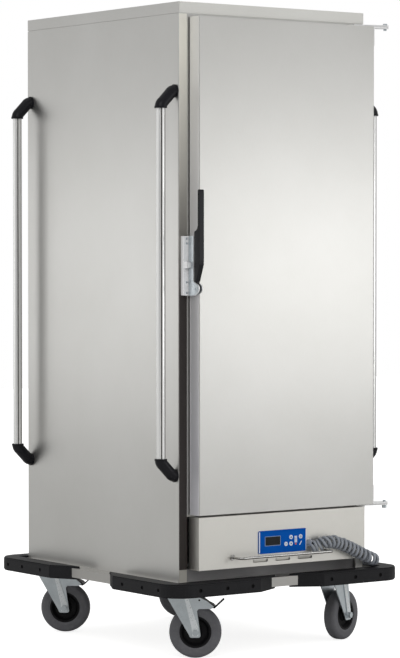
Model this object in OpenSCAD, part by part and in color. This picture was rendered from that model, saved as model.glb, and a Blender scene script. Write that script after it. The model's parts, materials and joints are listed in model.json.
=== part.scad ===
/* [Cabinet] */
// Width of the cabinet, side to side
cab_w = 715; // [640:5:800]
// Depth of the cabinet, front frame to back
cab_d = 850; // [780:5:950]
// Height of the cabinet above the chassis
cab_h = 1750; // [1500:10:1800]
// Height of the cap on top of the cabinet
cap_h = 34; // [20:1:50]
// Thickness of the insulated walls
wall_t = 60; // [45:1:70]
// Thickness of the sheet steel
sheet_t = 1.5; // [1:0.1:2]
// Height of the module bay under the heated space
bay_h = 198; // [180:1:240]
// Number of tray levels inside
tray_levels = 16; // [8:1:18]

/* [Door] */
// Distance from the cabinet's left edge to the door's left edge
door_inset = 38; // [30:1:60]
// Thickness of the door with its gasket
door_t = 52; // [40:1:60]
// Distance from the cabinet's top to the door's top edge
door_top_gap = 45; // [38:1:70]
// Gap between the door's bottom edge and the module's front
door_bottom_gap = 6; // [5:0.5:8]
// Distance of the hinge pins outside the cabinet's right side
pivot_out = 50; // [44:1:60]
// Distance of the hinge pins in front of the front frame
pivot_fwd = 45; // [40:1:48]
// Radius of the hinge pins
hinge_pin_r = 5; // [4:0.5:6]

/* [Chassis] */
// Height of the chassis top above the floor
deck_z = 241; // [236:1:260]
// Height of the chassis rim
rim_h = 29; // [24:1:32]
// Width of the chassis ledge on the left and right
ledge_side = 50; // [40:1:60]
// Width of the chassis ledge in front
ledge_front = 60; // [55:1:80]
// Width of the chassis ledge behind
ledge_back = 20; // [10:1:40]
// Thickness of the corner bumpers
bumper_t = 40; // [30:1:50]
// Height of the corner bumpers
bumper_h = 42; // [36:1:44]
// Length of each bumper leg along the outside
bumper_leg = 325; // [280:5:330]
// Radius of the bumpers' outer corner
bumper_r = 75; // [40:1:80]

/* [Castors] */
// Diameter of the castor wheels
wheel_d = 160; // [150:1:160]
// Width of the tyres
tyre_w = 40; // [32:1:42]
// Distance from the swivel axis to the wheel axle
castor_lead = 56; // [48:1:58]
// Distance between the left and right swivel axes
castor_track = 604; // [560:1:640]
// Distance between the front and rear swivel axes
castor_base = 725; // [600:5:740]

/* [Handles] */
// Diameter of the push handle tubes
tube_d = 28; // [24:1:32]
// Distance from the cabinet side to the tube's centre line
tube_out = 52; // [48:1:60]
// Height of the lower elbows' bottom above the floor
handle_z0 = 546; // [480:1:600]
// Height of the upper elbows' top above the floor
handle_z1 = 1741; // [1500:1:1742]

/* [Controls] */
// Width of the controller's front
ctrl_w = 183; // [170:1:190]
// Height of the controller's front
ctrl_h = 70; // [66:1:74]
// Travel of the controller's keys
key_travel = 0.8; // [0.4:0.1:1]
// Diameter of the cord
cord_d = 8.5; // [7:0.5:10]
// Outer diameter of the curled part of the cord
coil_d = 42; // [36:1:44]

/* [Hidden] */
$fn = 48;

// Clearances: running fit on a pin, and the air gap between moving neighbours
fit = 0.05;
air = 0.3;

// The origin is on the floor, under the middle of the four corner bumpers.
half_w = cab_w / 2;
chassis_x = half_w + ledge_side;
chassis_y = (cab_d + ledge_front + ledge_back) / 2;
front_y = ledge_front - chassis_y;
back_y = front_y + cab_d;
top_z = deck_z + cab_h;
cap_z = top_z - cap_h;

// Outer radius of the folds on upright edges
fold_r = 3;

// Front frame, door and module bay
post_w = 30;
door_x0 = door_inset - half_w;
door_x1 = half_w + 0.5;
door_y = front_y - door_t;
door_z0 = deck_z + bay_h + door_bottom_gap;
door_z1 = top_z - door_top_gap;
gasket_t = 4;
door_back = front_y - gasket_t;
in_x = half_w - wall_t;
in_y = back_y - wall_t;
in_z0 = door_z0 + 55;
in_z1 = top_z - wall_t;
frame_z0 = deck_z + bay_h + 0.5;

// Module behind the bottom front, with its fan under the floor grille
fascia_x0 = door_x0;
fascia_x1 = half_w - 35.5;
fascia_z0 = deck_z + 38;
fascia_z1 = deck_z + bay_h;
module_y1 = 170;
fan_y = 60;
duct_r = 95;

// Controller, centred a little left of the middle
ctrl_x = -4.5;
ctrl_z = 350.5;
ctrl_t = 3;
ctrl_y = door_y - ctrl_t;
key_r = 6.5;
keys = [[27.5, 361], [27.5, 341], [8, 341], [65, 361]];
display_x = [-71, -14];
display_z = [340, 366];

// Cord outlet and vent slots in the module's front
gland = [100, 338];
gland_r = 9;
slot_xs = [-88, -2, 84];
slot_w = 56;
slot_z = 295;

// Hinge axis
pivot_x = half_w + pivot_out;
pivot_y = front_y - pivot_fwd;

// Latch on the door's left edge
latch_x0 = door_x0 - 16;
latch_x1 = door_x0;
latch_z0 = 1108;
latch_z1 = 1287;
lever_y0 = front_y - 77;
lever_z1 = 1426;
lever_pivot = [front_y - 54, 1127];
lever_pin_r = 3;
bolt_z = 1200;
keeper_t = 16;

// Castors: name order front left, rear left, front right, rear right
castor_y0 = 45;
castor_xy = [
    [-castor_track / 2, castor_y0 - castor_base / 2],
    [-castor_track / 2, castor_y0 + castor_base / 2],
    [castor_track / 2, castor_y0 - castor_base / 2],
    [castor_track / 2, castor_y0 + castor_base / 2]
];
castor_turn = [-36, -43, 20, 147];
wheel_r = wheel_d / 2;
leg_in = tyre_w / 2 + 5;
leg_t = 3.5;
rib_t = 2.5;
axle_r = 6;
pedal_pin = [68, 179];
pedal_r = 3;
kingpin_r = 7;
crown_z = 194;
plate_t = 3.5;
plate_bolts = [40, 30];
under_z = deck_z - rim_h;

// Bumpers: width that laps over the chassis, length of the tapered ends along it, and the screws'
// distances from the corner on the sides and on the front and back
bumper_lap = 14;
bumper_taper = 72;
screws_side = [80, 165, 272];
screws_end = [100, 200, 295];

// Route of the cord, from the gland to the plug; the curled part lies between the two marked points
cord_route = [
    [100, -449, 338], [100, -464, 338], [100, -478, 338], [104, -485, 338], [112, -486, 339],
    [124, -483, 340], [155, -482, 341], [193, -481, 335], [240, -480, 318], [283, -480, 298],
    [318, -479, 283], [342, -471, 274], [363, -447, 270], [378, -420, 267], [381, -385, 265.2],
    [381, -330, 265], [381, -275, 265], [381, -225, 265], [383, -195, 260.5], [385, -160, 258.2],
    [385, -130, 258.2], [385, -95, 258.2]
];
coil_first = 5;
coil_last = 17;

// ---------------------------------------------------------------- helpers

function arc(cx, cy, r, a0, a1, n) = [for (i = [0:n]) let (a = a0 + (a1 - a0) * i / n)
    [cx + r * cos(a), cy + r * sin(a)]];

module box(x0, x1, y0, y1, z0, z1) {
    translate([x0, y0, z0]) cube([x1 - x0, y1 - y0, z1 - z0]);
}

module rod_x(r, x0, x1) {
    translate([x0, 0, 0]) rotate([0, 90, 0]) cylinder(r = r, h = x1 - x0);
}

module rod_y(r, y0, y1) {
    translate([0, y0, 0]) rotate([-90, 0, 0]) cylinder(r = r, h = y1 - y0);
}

// Flat bar outline in the Y-Z plane, thick along X from x0
module slab_yz(x0, t) {
    translate([x0, 0, 0]) rotate([90, 0, 90]) linear_extrude(t) children();
}

// Flat bar outline in the X-Z plane, thick along Y from y0
module slab_xz(y0, t) {
    translate([0, y0 + t, 0]) rotate([90, 0, 0]) linear_extrude(t) children();
}

module rounded(x0, x1, y0, y1, r) {
    polygon(concat(
        arc(x0 + r, y0 + r, r, 180, 270, 6),
        arc(x1 - r, y0 + r, r, 270, 360, 6),
        arc(x1 - r, y1 - r, r, 0, 90, 6),
        arc(x0 + r, y1 - r, r, 90, 180, 6)));
}

module countersunk_head(r, h) {
    difference() {
        cylinder(r1 = r, r2 = r * 0.8, h = h);
        translate([0, 0, h - 0.8]) cylinder(r = r * 0.35, h = 1, $fn = 6);
    }
}

// ---------------------------------------------------------------- chassis

module chassis_frame() color("silver") {
    rail_w = 130;
    rail_x = castor_track / 2;
    difference() {
        box(-chassis_x, chassis_x, -chassis_y, chassis_y, under_z, deck_z);
        // hollow between the two castor rails
        box(-rail_x + rail_w / 2, rail_x - rail_w / 2, -chassis_y + 2, chassis_y - 2,
            under_z - 1, deck_z - 2);
        // hollow rails and rims
        for (s = [-1, 1])
            box(s * rail_x - rail_w / 2 + 2, s * rail_x + rail_w / 2 - 2, -chassis_y + 2, chassis_y - 2,
                under_z + 2, deck_z - 2);
        for (s = [-1, 1])
            box(s > 0 ? rail_x + rail_w / 2 : 2 - chassis_x, s > 0 ? chassis_x - 2 : -rail_x - rail_w / 2,
                -chassis_y + 2, chassis_y - 2, under_z + 2, deck_z - 2);
    }
}

// One corner of the bumper outline, at positive X and Y, pulled in by e
module bumper_outline(e) {
    ox = chassis_x + bumper_t - e;
    oy = chassis_y + bumper_t - e;
    r = bumper_r - e;
    // the ends taper from the outside to the lap's edge
    leg = bumper_leg + (bumper_t + bumper_lap - e) * bumper_taper / bumper_t;
    polygon(concat(
        [[chassis_x - bumper_lap, oy - leg], [ox, oy - bumper_leg]],
        arc(ox - r, oy - r, r, 0, 90, 12),
        [[ox - bumper_leg, oy], [ox - leg, chassis_y - bumper_lap],
         [chassis_x - bumper_lap, chassis_y - bumper_lap]]));
}

module bumper_corner() {
    lip = (bumper_h - rim_h) / 2;
    z0 = under_z - lip;
    edge = 4;
    ox = chassis_x + bumper_t;
    oy = chassis_y + bumper_t;
    difference() {
        union() {
            translate([0, 0, z0]) linear_extrude(edge) bumper_outline(edge * 0.7);
            translate([0, 0, z0 + edge]) linear_extrude(bumper_h - 2 * edge) bumper_outline(0);
            translate([0, 0, z0 + bumper_h - edge]) linear_extrude(edge) bumper_outline(edge * 0.7);
        }
        box(0, chassis_x, 0, chassis_y, under_z, deck_z);
        for (d = screws_side) translate([ox - 5, oy - d, under_z + rim_h / 2]) rod_x(6, 0, 10);
        for (d = screws_end) translate([ox - d, oy - 5, under_z + rim_h / 2]) rod_y(6, 0, 10);
    }
}

module corner_bumpers() color([0.09, 0.09, 0.1])
    for (sx = [0, 1], sy = [0, 1]) mirror([sx, 0, 0]) mirror([0, sy, 0]) bumper_corner();

module plinth() color([0.33, 0.33, 0.34]) {
    x0 = post_w - half_w;
    box(x0, -x0, front_y + 8, front_y + 10, deck_z, fascia_z0);
    box(x0, -x0, front_y + 8, front_y + 30, fascia_z0 - 2, fascia_z0);
}

// ---------------------------------------------------------------- castors

module castor_plates() color("silver")
    for (p = castor_xy) translate([p[0], p[1], 0]) {
        translate([0, 0, under_z - plate_t]) linear_extrude(plate_t) rounded(-52, 52, -42, 42, 8);
        translate([0, 0, under_z - 9]) cylinder(r1 = 33, r2 = 36, h = 9 - plate_t);
        // kingpin, with its rivet head under the fork's crown
        translate([0, 0, crown_z - 3]) cylinder(r = kingpin_r, h = under_z - crown_z);
        translate([0, 0, crown_z - air - 5]) cylinder(r = 11, h = 5);
    }

// Side outline of a fork leg in the castor's own X-Z plane
function leg_outline(braked) = concat(
    [[-33, crown_z + 4], [-33, crown_z - 2], [37, 72]], arc(45, 72, 8, 180, 270, 3),
    arc(64, 72, 8, 270, 350, 3), [[61, 146]],
    braked ? [[66, 152], [104, 152], [113, 159], [90, 177], [62, 190], [56, crown_z + 4]]
        : [[52, crown_z + 4]]);

module fork(braked) color([0.72, 0.75, 0.76]) {
    head_z = under_z - 9 - air;
    difference() {
        union() {
            for (s = [-1, 1]) {
                y0 = s > 0 ? leg_in : -leg_in - leg_t;
                slab_xz(y0, leg_t) polygon(leg_outline(braked));
                // pressed rib along the leg
                y1 = s > 0 ? leg_in + leg_t : -leg_in - leg_t - rib_t;
                slab_xz(y1, rib_t) polygon([[22, 188], [34, 188], [65, 96], [65, 69], [47, 69], [44, 96]]);
            }
            // crown joining the legs, and the lower bearing ring
            difference() {
                box(-33, 52, -leg_in - 1, leg_in + 1, crown_z, crown_z + 4);
                box(32, 53, -16, 16, crown_z - 1, crown_z + 5);
            }
            translate([0, 0, crown_z + 1]) cylinder(r = 22, h = head_z - crown_z - 1);
            translate([0, 0, head_z - 3]) cylinder(r = 37, h = 3);
        }
        translate([0, 0, crown_z - 4]) cylinder(r = kingpin_r + fit, h = 30);
        translate([castor_lead, 0, wheel_r]) rod_y(axle_r, -50, 50);
    }
}

module axle() color("silver") translate([castor_lead, 0, wheel_r]) {
    nut_h = 8;
    end = leg_in + leg_t + rib_t;
    rod_y(axle_r, -end, end);
    for (s = [-1, 1]) {
        y0 = s > 0 ? end : -end - nut_h;
        translate([0, y0, 0]) rotate([-90, 0, 0]) cylinder(r = 10, h = nut_h, $fn = 6);
    }
}

module rim() color([0.1, 0.1, 0.11]) translate([castor_lead, 0, wheel_r]) rotate([90, 0, 0])
    rotate_extrude() {
        hub = leg_in - 0.5;
        polygon([
            [axle_r + fit, -hub], [15, -hub], [17, -15], [22, -8], [36, -5], [41, -14], [43, -18],
            [49, -18], [49, 18], [43, 18], [41, 14], [36, 5], [22, 8], [17, 15], [15, hub],
            [axle_r + fit, hub]]);
    }

module tyre() color([0.4, 0.4, 0.42]) translate([castor_lead, 0, wheel_r]) rotate([90, 0, 0])
    rotate_extrude() {
        w = tyre_w / 2;
        polygon(concat(
            [[49, -18], [52, -w + 1], [56, -w]],
            arc(wheel_r - 12, -w + 12, 12, 270, 360, 5),
            arc(wheel_r - 12, w - 12, 12, 0, 90, 5),
            [[56, w], [52, w - 1], [49, 18]]));
    }

// Foot pedal between the fork's arms, with a bent tail
module brake() color([0.12, 0.12, 0.13]) {
    w = leg_in - 0.6;
    slab_xz(-w, 2 * w) polygon(concat(
        arc(pedal_pin[0], pedal_pin[1], 6, 60, 240, 6), [[108, 154], [117, 153], [118, 158], [112, 164]]));
    slab_xz(-11, 22) polygon([[114, 155], [119, 155], [145, 179], [142, 182]]);
    translate([pedal_pin[0], 0, pedal_pin[1]]) rod_y(pedal_r, -leg_in - 2, leg_in + 2);
}

module at_castor(i) translate([castor_xy[i][0], castor_xy[i][1], 0])
    rotate([0, 0, castor_turn[i]]) children();

module braked_fork() difference() {
    fork(true);
    translate([pedal_pin[0], 0, pedal_pin[1]]) rod_y(pedal_r + fit, -leg_in - 6, leg_in + 6);
}

// ---------------------------------------------------------------- cabinet

// Outer wrap: both sides, back and the folded front posts
module casing() color([0.75, 0.75, 0.74]) {
    t = sheet_t;
    z1 = cap_z - 2;
    difference() {
        translate([0, 0, deck_z]) linear_extrude(z1 - deck_z) rounded(-half_w, half_w, front_y, back_y, fold_r);
        box(t - half_w, half_w - t, front_y + t, back_y - t, deck_z - 1, z1 + 1);
        box(post_w - half_w, half_w - post_w, front_y - 1, front_y + t + 1, deck_z - 1, z1 + 1);
    }
    // inner folds of the posts beside the module bay
    for (s = [0, 1]) mirror([s, 0, 0])
        box(half_w - post_w, half_w - post_w + t, front_y, front_y + 40, deck_z, frame_z0);
}

module top_cap() color([0.77, 0.77, 0.76]) difference() {
    union() {
        translate([0, 0, cap_z]) linear_extrude(cap_h) rounded(-half_w, half_w, front_y, back_y, fold_r);
        box(3 - half_w, half_w - 3, front_y + 3, back_y - 3, cap_z - 2, cap_z);
    }
    box(8 - half_w, half_w - 8, front_y + 8, back_y - 8, cap_z - 3, top_z - sheet_t);
}

// Inner box of the heated space with its front flange
module liner() color([0.78, 0.78, 0.77]) {
    t = sheet_t;
    fx = half_w - post_w;
    difference() {
        union() {
            box(-in_x - t, in_x + t, front_y, in_y + t, in_z0 - t, in_z1 + t);
            box(-fx, fx, front_y, front_y + t, frame_z0, cap_z - 2);
        }
        box(-in_x, in_x, front_y - 1, in_y, in_z0, in_z1);
        translate([0, fan_y, in_z0 - 5]) cylinder(r = duct_r, h = 10);
    }
}

// Foam between the liner and the casing, with the duct hole through the floor
module insulation() color([0.9, 0.86, 0.6]) {
    t = sheet_t;
    x1 = half_w - t;
    xi = in_x + t;
    z1 = cap_z - 4;
    difference() {
        box(-x1, x1, front_y + t, back_y - t, frame_z0, z1);
        box(-xi, xi, front_y, in_y + t, in_z0 - t, in_z1 + t);
        translate([0, fan_y, frame_z0 - 5]) cylinder(r = duct_r, h = in_z0 - frame_z0 + 10);
    }
}

// Levels of the tray runners
rack_z0 = in_z0 + 40;
rack_step = (in_z1 - 60 - rack_z0) / (tray_levels - 1);

module rack_uprights() color("silver")
    for (s = [-1, 1], y = [front_y + 60, fan_y - 40, in_y - 90])
        difference() {
            box(s > 0 ? in_x - 12 : -in_x, s > 0 ? in_x : 12 - in_x, y, y + 24, in_z0, in_z1 - 4);
            box(s > 0 ? in_x - 13 : 2 - in_x, s > 0 ? in_x - 2 : 13 - in_x, y + 2, y + 22, in_z0 - 1, in_z1);
        }

// Angle-shaped ledges that carry the trays
module tray_runners() color("silver")
    for (s = [0, 1], i = [0:tray_levels - 1]) mirror([s, 0, 0])
        translate([in_x - 12, in_y - 60, rack_z0 + i * rack_step]) rotate([90, 0, 0])
            linear_extrude(in_y - 60 - front_y - 55)
                polygon([[0, 14], [0, 0], [-25, 0], [-28, 2], [-28, 3.8], [-2, 1.8], [-2, 14]]);

module floor_grille() color("silver") difference() {
    translate([0, fan_y, in_z0]) linear_extrude(2) rounded(-115, 115, -115, 115, 10);
    for (i = [-5:5]) {
        l = i % 2 == 0 ? 84 : 78;
        box(-l, l, fan_y + i * 15 - 4, fan_y + i * 15 + 4, in_z0 - 1, in_z0 + 3);
    }
}

// ---------------------------------------------------------------- handles

// Quarter-turn in two 45 degree bends: out of the wall, then along the tube
module elbow() {
    r = 18.3;
    bend = 20;
    x1 = 1.5;
    z2 = x1 - tube_out;
    k = bend * cos(45);
    rod_x(20, 0, 5);
    translate([x1, 0, -bend]) rotate([90, 0, 0]) rotate([0, 0, 45]) rotate_extrude(angle = 45)
        translate([bend, 0]) circle(r = r);
    translate([x1 + k, 0, k - bend]) rotate([0, 135, 0]) translate([0, 0, -0.5])
        cylinder(r = r - 0.4, h = (tube_out - bend - x1) * sqrt(2) + 1);
    translate([tube_out - bend, 0, z2]) rotate([90, 0, 0]) rotate_extrude(angle = 45)
        translate([bend, 0]) circle(r = r);
    translate([tube_out, 0, -53]) cylinder(r = r, h = 53 + z2);
    translate([tube_out, 0, -53]) cylinder(r = r + 1, h = 6);
}

module at_handles() for (sx = [0, 1], y = [front_y + 20, back_y - 20])
    mirror([sx, 0, 0]) translate([half_w, y, 0]) children();

module handle_elbows() color([0.08, 0.08, 0.09]) at_handles() {
    translate([0, 0, handle_z1 - 18]) elbow();
    translate([0, 0, handle_z0 + 18]) mirror([0, 0, 1]) elbow();
}

module handle_tubes() color([0.85, 0.85, 0.86]) at_handles()
    translate([tube_out, 0, handle_z0 + 71]) difference() {
        h = handle_z1 - handle_z0 - 142;
        cylinder(d = tube_d, h = h);
        translate([0, 0, -1]) cylinder(d = tube_d - 4, h = h + 2);
    }

// ---------------------------------------------------------------- door

module door_skin() color([0.78, 0.78, 0.76]) difference() {
    translate([0, 0, door_z0]) linear_extrude(door_z1 - door_z0) polygon(concat(
        arc(door_x0 + fold_r, door_y + fold_r, fold_r, 180, 270, 6),
        arc(door_x1 - fold_r, door_y + fold_r, fold_r, 270, 360, 6),
        [[door_x1, door_back], [door_x0, door_back]]));
    box(door_x0 + sheet_t, door_x1 - sheet_t, door_y + sheet_t, door_back + 1, door_z0 + sheet_t,
        door_z1 - sheet_t);
}

module door_liner() color([0.8, 0.8, 0.79]) {
    t = sheet_t;
    x0 = door_x0 + t;
    x1 = door_x1 - t;
    difference() {
        union() {
            box(x0, x1, door_back - t, door_back, door_z0 + t, door_z1 - t);
            // raised field that stands into the opening
            slab_xz(door_back, 7) rounded(-in_x + 14, in_x - 14, in_z0 + 14, in_z1 - 14, 20);
        }
        slab_xz(door_back - t - 1, 7) rounded(-in_x + 16, in_x - 16, in_z0 + 16, in_z1 - 16, 18);
    }
}

module door_core() color([0.9, 0.86, 0.6]) {
    t = sheet_t;
    box(door_x0 + t, door_x1 - t, door_y + t, door_back - t, door_z0 + t, door_z1 - t);
}

module door_gasket() color([0.15, 0.15, 0.15])
    slab_xz(door_back, gasket_t - air) difference() {
        rounded(-in_x - 18, in_x + 18, in_z0 - 18, door_z1 - 3, 12);
        rounded(-in_x - 4, in_x + 4, in_z0 - 4, in_z1 + 3, 6);
    }

// Hinges: the arm is a flat plate on the door's edge with an eye; the bracket comes from the frame
module hinge_plate(x0, r_eye, z, t, y0, y1) translate([0, 0, z]) linear_extrude(t) difference() {
    union() {
        translate([pivot_x, pivot_y]) circle(r = 11);
        polygon([[x0, y0], [pivot_x, pivot_y - 11], [pivot_x, pivot_y + 11], [x0, y1]]);
    }
    translate([pivot_x, pivot_y]) circle(r = r_eye);
}

module hinge_arms() color("silver") {
    x0 = door_x1;
    for (z = [door_z1 - 5, door_z0]) {
        hinge_plate(x0, hinge_pin_r + fit, z, 5, pivot_y - 5, pivot_y + 34);
    }
    // upright flanges on the door's edge
    for (z = [door_z1 - 60, door_z0]) box(x0, x0 + 3, pivot_y - 5, pivot_y + 34, z, z + 60);
}

module hinge_brackets() color("silver") {
    up = door_z1 + 1;
    low = door_z0 - door_bottom_gap + 0.5;
    x0 = half_w - post_w - 32;
    hinge_plate(x0 + 40, hinge_pin_r, up, 5, front_y - 30, front_y);
    box(x0, x0 + 41, front_y - 30, front_y, up, up + 5);
    hinge_plate(half_w - post_w + 6, hinge_pin_r, low, 5, front_y - 34, front_y);
    // gusset under the lower plate
    slab_xz(front_y - 20, 3) polygon([
        [half_w - 28, low], [half_w - 6, low], [half_w - 18, low - 18], [half_w - 28, low - 18]]);
    box(half_w - 28, half_w - 5, front_y - 3, front_y, low - 30, low);
}

module hinge_pins() color([0.6, 0.6, 0.62]) translate([pivot_x, pivot_y, 0]) {
    translate([0, 0, door_z1 - 11]) cylinder(r = hinge_pin_r, h = 22);
    translate([0, 0, door_z1 + 6]) cylinder(r1 = 8, r2 = 6, h = 5);
    translate([0, 0, door_z0 - 14]) cylinder(r = hinge_pin_r, h = 24);
    translate([0, 0, door_z0 - 15]) cylinder(r = 7.5, h = 9.5);
}

// ---------------------------------------------------------------- latch

module latch_housing() color([0.8, 0.8, 0.8]) difference() {
    union() {
        box(latch_x0, latch_x1, front_y - 44, front_y - 20, latch_z0, latch_z1);
        // ears that carry the lever's pin
        for (x = [latch_x0, latch_x1 - 4]) slab_yz(x, 4) polygon(concat(
            [[front_y - 44, latch_z0], [front_y - 58, latch_z0 + 4]],
            arc(lever_pivot[0] - 6, lever_pivot[1] + 2, 13, 230, 100, 6),
            [[front_y - 44, latch_z0 + 42]]));
    }
    translate([latch_x0 - 1, front_y - 31, bolt_z - 8.3]) cube([14, 9, 16.6]);
    translate([0, lever_pivot[0], lever_pivot[1]]) rod_x(lever_pin_r, latch_x0 - 1, latch_x1 + 1);
}

module latch_pin() color("silver") translate([0, lever_pivot[0], lever_pivot[1]])
    rod_x(lever_pin_r, latch_x0 - 1.5, latch_x1);

// Lever: long grip, finger recess behind its upper half, narrow tongue at the pivot
module latch_lever() color([0.1, 0.1, 0.11]) {
    y0 = lever_y0;
    yb = front_y - 49;
    grip_t = 10;
    difference() {
        union() {
            slab_yz(latch_x0, latch_x1 - latch_x0) polygon(concat(
                [[yb, 1150], [y0 + 20, 1150], [y0 + 1, 1200]],
                arc(y0 + 9, 1212, 9, 190, 180, 2),
                arc(y0 + grip_t / 2, lever_z1 - grip_t / 2, grip_t / 2, 180, 0, 10),
                [[y0 + grip_t, 1318]],
                arc(yb, 1318, yb - y0 - grip_t - 1, 190, 262, 6),
                [[yb, 1298]]));
            slab_yz(latch_x0 + 4.3, latch_x1 - latch_x0 - 8.6) polygon(concat(
                [[yb, 1151], [yb, lever_pivot[1] + 8]],
                arc(lever_pivot[0], lever_pivot[1], 8, 40, -220, 8),
                [[y0 + 18, 1151]]));
        }
        translate([0, lever_pivot[0], lever_pivot[1]]) rod_x(lever_pin_r + fit, latch_x0, latch_x1);
    }
}

module latch_bolt() color("silver")
    box(latch_x0 - 5, latch_x0 + 6, front_y - 30.7, front_y - 22.3, bolt_z - 8, bolt_z + 8);

// Keeper block on the left post, with the catch that the bolt meets
module strike_plate() color([0.86, 0.86, 0.85]) {
    x0 = 8 - half_w;
    x1 = x0 + 20;
    slab_xz(front_y - keeper_t, keeper_t) rounded(x0, x1, latch_z0, latch_z1, 2);
    slab_yz(x0, latch_x0 - 5.5 - x0) polygon([
        [front_y - keeper_t, bolt_z - 10], [front_y - 32, bolt_z - 9], [front_y - 32, bolt_z + 9],
        [front_y - keeper_t, bolt_z + 10]]);
}

// ---------------------------------------------------------------- module and controls

module module_housing() color("silver") {
    x1 = fascia_x1 - 12;
    difference() {
        box(-x1, x1, front_y + 42, module_y1, deck_z, frame_z0 - 2);
        box(2 - x1, x1 - 2, front_y + 44, module_y1 - 2, deck_z + 2, frame_z0 - 4);
        translate([0, fan_y, frame_z0 - 10]) cylinder(r = duct_r - 13, h = 20);
    }
    translate([0, fan_y, frame_z0 - 2]) difference() {
        cylinder(r = duct_r, h = 2);
        translate([0, 0, -1]) cylinder(r = duct_r - 2, h = 4);
    }
}

// Folded front panel with three long vent slots and the controller cut-out
module module_fascia() color([0.75, 0.75, 0.73]) {
    t = sheet_t;
    difference() {
        box(fascia_x0, fascia_x1, door_y, front_y, fascia_z0, fascia_z1);
        box(fascia_x0 + t, fascia_x1 - t, door_y + t, front_y + 1, fascia_z0 + t, fascia_z1 - t);
        for (x = slot_xs) translate([0, 0, slot_z]) slab_xz(door_y - 1, 4)
            rounded(x - slot_w / 2, x + slot_w / 2, -4.5, 4.5, 4);
        box(ctrl_x - 85, ctrl_x + 85, door_y - 1, door_y + 5, ctrl_z - 29, ctrl_z + 29);
        translate([gland[0], 0, gland[1]]) rod_y(gland_r, door_y - 1, door_y + 5);
    }
    // return flanges that close the panel onto the posts
    for (x = [fascia_x0 + t, fascia_x1 - t - 12]) box(x, x + 12, front_y - t, front_y, fascia_z0, fascia_z1);
    // louvre lips that slope down behind the slots
    for (x = slot_xs) slab_yz(x - slot_w / 2 + 4, slot_w - 8) polygon([
        [door_y + 0.5, slot_z + 4.6], [door_y + 0.5, slot_z + 7], [door_y + 1.4, slot_z + 7],
        [door_y + 5, slot_z - 4], [door_y + 3.7, slot_z - 4.4]]);
}

module guard_rail() color("silver") {
    y = door_y - 44;
    x0 = -195;
    x1 = 162;
    z = 312;
    r = 4;
    bend = 12;
    for (x = [x0, x1]) translate([x, 0, z]) {
        rod_y(r, y + bend, door_y);
        rod_y(9, door_y - 3, door_y);
    }
    translate([0, y, z]) rod_x(r, x0 + bend, x1 - bend);
    translate([x0 + bend, y + bend, z]) rotate([0, 0, 180]) rotate_extrude(angle = 90)
        translate([bend, 0]) circle(r = r);
    translate([x1 - bend, y + bend, z]) rotate([0, 0, 270]) rotate_extrude(angle = 90)
        translate([bend, 0]) circle(r = r);
}

module controller_bezel() color([0.1, 0.33, 0.68]) {
    w = ctrl_w / 2;
    h = ctrl_h / 2;
    difference() {
        union() {
            slab_xz(ctrl_y, ctrl_t) rounded(ctrl_x - w, ctrl_x + w, ctrl_z - h, ctrl_z + h, 5);
            box(ctrl_x - 84, ctrl_x + 84, door_y, door_y + 36, ctrl_z - 28, ctrl_z + 28);
        }
        slab_xz(ctrl_y - 1, 1.8) rounded(ctrl_x - w + 4, ctrl_x + w - 4, ctrl_z - h + 4, ctrl_z + h - 4, 3);
        box(display_x[0], display_x[1], ctrl_y - 1, ctrl_y + 2.5, display_z[0], display_z[1]);
        for (k = keys) translate([k[0], 0, k[1]]) rod_y(key_r + fit, ctrl_y - 1, ctrl_y + 3.2 + key_travel);
        box(ctrl_x - 80, ctrl_x + 80, door_y + 6, door_y + 34, ctrl_z - 24, ctrl_z + 24);
    }
}

module controller_display() color([0.05, 0.05, 0.06])
    box(display_x[0], display_x[1], ctrl_y + 0.6, ctrl_y + 2.5, display_z[0], display_z[1]);

module key(k) color("white") translate([k[0], 0, k[1]]) rod_y(key_r, ctrl_y - 0.6, ctrl_y + 3);

module heater_element() color([0.5, 0.48, 0.46]) translate([0, fan_y, 458]) {
    for (z = [0, 14]) translate([0, 0, z]) rotate_extrude(angle = 320) translate([74, 0]) circle(r = 4);
    rotate([0, 0, 320]) translate([74, 0, -1]) cylinder(r = 3.4, h = 16);
    translate([74, 0, -24]) cylinder(r = 3.4, h = 39);
    // brackets that carry the loops off the housing's top
    for (a = [60, 180, 280]) rotate([0, 0, a]) {
        box(77.6, 92, -6, 6, -20.5, -18.5);
        box(77.6, 80.1, -6, 6, -20.5, 18);
    }
}

module fan_motor() color([0.3, 0.3, 0.32]) translate([0, fan_y, 0]) {
    translate([0, 0, deck_z + 2]) cylinder(r = 48, h = 4);
    translate([0, 0, deck_z + 6]) cylinder(r = 14, h = 60);
    translate([0, 0, deck_z + 66]) cylinder(r = 42, h = 62);
    translate([0, 0, deck_z + 128]) cylinder(r1 = 42, r2 = 14, h = 8);
    translate([0, 0, deck_z + 136]) cylinder(r = 5, h = 36);
}

module fan_rotor() color([0.35, 0.35, 0.36]) translate([0, fan_y, deck_z + 142]) difference() {
    union() {
        cylinder(r = 20, h = 28);
        for (i = [0:5]) rotate([0, 0, i * 60]) translate([18, 0, 14]) rotate([32, 0, 0])
            translate([0, -16, -1]) cube([46, 32, 2]);
    }
    translate([0, 0, -1]) cylinder(r = 5 + fit, h = 40);
}

module cable_gland() color([0.2, 0.2, 0.21]) translate([gland[0], 0, gland[1]]) difference() {
    union() {
        rod_y(gland_r, door_y, door_y + 8);
        translate([0, door_y - 5, 0]) rotate([-90, 0, 0]) cylinder(r = 13, h = 5, $fn = 6);
        translate([0, door_y - 20, 0]) rotate([-90, 0, 0]) cylinder(r1 = 6, r2 = 10.5, h = 16);
    }
    rod_y(cord_d / 2, door_y - 6, door_y + 10);
    // wider mouth, so that the cord can bend
    rod_y(cord_d / 2 + 0.8, door_y - 21, door_y - 5);
}

// ---------------------------------------------------------------- cord

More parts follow.
